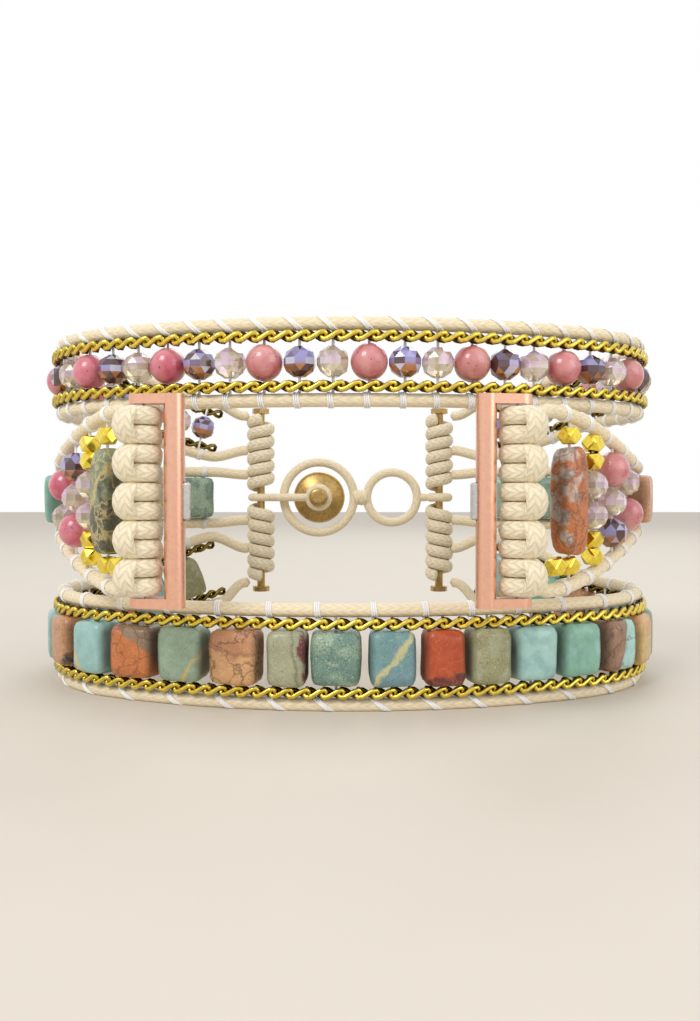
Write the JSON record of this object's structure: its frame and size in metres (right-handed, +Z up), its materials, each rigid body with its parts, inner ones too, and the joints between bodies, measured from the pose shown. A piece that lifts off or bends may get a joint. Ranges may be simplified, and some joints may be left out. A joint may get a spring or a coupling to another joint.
{
  "type": "bead watch band",
  "caption": "Three-row cuff band of stones and beads stitched between waxed cords, with lashed, latching lug adapters for a watch case and a loop-and-button closure.",
  "frame": {"origin": "centre of the bounding box, on the surface that the band stands on", "axes": "+Z up along the wrist's axis, -Y to the front where the watch case goes, +X to the right as seen from the front"},
  "size_m": [0.1026, 0.0712, 0.0555],
  "materials": {
    "waxed_cord": "waxed cotton cord, cream, thread-wrapped",
    "braided_cord": "braided cotton cord, cream",
    "gold_chain": "polished gold plate, dark between the links",
    "gold_nugget": "polished gold plate",
    "rose_bead": "polished dusty rose stone",
    "violet_crystal": "faceted glass, violet coat over amber",
    "champagne_crystal": "faceted glass, champagne coat",
    "aqua_stone": "tumbled, veined",
    "green_stone": "tumbled, mottled",
    "olive_stone": "tumbled, mottled",
    "brown_stone": "tumbled, speckled and veined",
    "red_stone": "tumbled, translucent",
    "mixed_stone": "tumbled, of mixed colours",
    "green_bar_stone": "polished, veined",
    "orange_bar_stone": "polished, with pale patches",
    "rose_gold": "satin rose gold",
    "steel": "spring steel",
    "antique_brass": "satin brass"
  },
  "bodies": {
    "root": {"top_row_upper_cord": "waxed_cord", "top_row_upper_chain": "gold_chain", "top_row_lower_cord": "waxed_cord", "top_row_lower_chain": "gold_chain", "bottom_row_upper_cord": "waxed_cord", "bottom_row_upper_chain": "gold_chain", "bottom_row_lower_cord": "waxed_cord", "bottom_row_lower_chain": "gold_chain", "top_row_rose_beads": "rose_bead", "top_row_violet_crystals": "violet_crystal", "top_row_champagne_crystals": "champagne_crystal", "bottom_row_aqua_stones": "aqua_stone", "bottom_row_brown_stones": "brown_stone", "bottom_row_green_stones": "green_stone", "bottom_row_olive_stones": "olive_stone", "bottom_row_red_stones": "red_stone", "left_strap_upper_cord": "waxed_cord", "left_strap_lower_cord": "waxed_cord", "left_strap_gold_nuggets": "gold_nugget", "left_strap_bar_stone": "green_bar_stone", "left_strap_rose_beads": "rose_bead", "left_strap_champagne_crystals": "champagne_crystal", "left_strap_violet_crystal": "violet_crystal", "left_strap_stones": "mixed_stone", "left_strap_lashing": "braided_cord", "left_end_lashing": "braided_cord", "left_end_bar": "antique_brass", "right_strap_upper_cord": "waxed_cord", "right_strap_lower_cord": "waxed_cord", "right_strap_gold_nuggets": "gold_nugget", "right_strap_bar_stone": "orange_bar_stone", "right_strap_rose_beads": "rose_bead", "right_strap_champagne_crystals": "champagne_crystal", "right_strap_violet_crystal": "violet_crystal", "right_strap_stones": "mixed_stone", "right_strap_lashing": "braided_cord", "right_end_lashing": "braided_cord", "right_end_bar": "antique_brass", "button_cord": "waxed_cord"},
    "left_adapter": {"left_lug_adapter": "rose_gold", "left_lug_bar": "steel", "left_bar_screws": "steel", "left_latch_spring": "steel"},
    "left_latch": {"left_latch": "steel"},
    "right_adapter": {"right_lug_adapter": "rose_gold", "right_lug_bar": "steel", "right_bar_screws": "steel", "right_latch_spring": "steel"},
    "right_latch": {"right_latch": "steel"},
    "loop_strap": {"loop_strap": "waxed_cord"},
    "button": {"button": "antique_brass"}
  },
  "joints": [
    {"name": "left_adapter_hinge", "type": "hinge", "parent": "root", "child": "left_adapter", "pos_m": [-0.028, -0.03272, 0.0297], "axis": [0, 0, 1], "range_deg": [-30, 30]},
    {"name": "left_latch_slide", "type": "slide", "parent": "left_adapter", "child": "left_latch", "axis": [-1, 0, 0], "range_m": [0, 0.0006], "stiffness_N_per_m": 400, "springref_m": -0.0004},
    {"name": "right_adapter_hinge", "type": "hinge", "parent": "root", "child": "right_adapter", "pos_m": [0.0228, -0.03272, 0.0297], "axis": [0, 0, 1], "range_deg": [-30, 30]},
    {"name": "right_latch_slide", "type": "slide", "parent": "right_adapter", "child": "right_latch", "axis": [1, 0, 0], "range_m": [0, 0.0006], "stiffness_N_per_m": 400, "springref_m": -0.0004},
    {"name": "loop_hinge", "type": "hinge", "parent": "root", "child": "loop_strap", "pos_m": [0.01816, 0.03161, 0.0297], "axis": [0, 0, -1], "range_deg": [0, 95]},
    {"name": "button_turn", "type": "hinge", "parent": "root", "child": "button", "pos_m": [-0.00634, 0.03161, 0.0297], "axis": [0, 1, 0], "continuous": true}
  ]
}
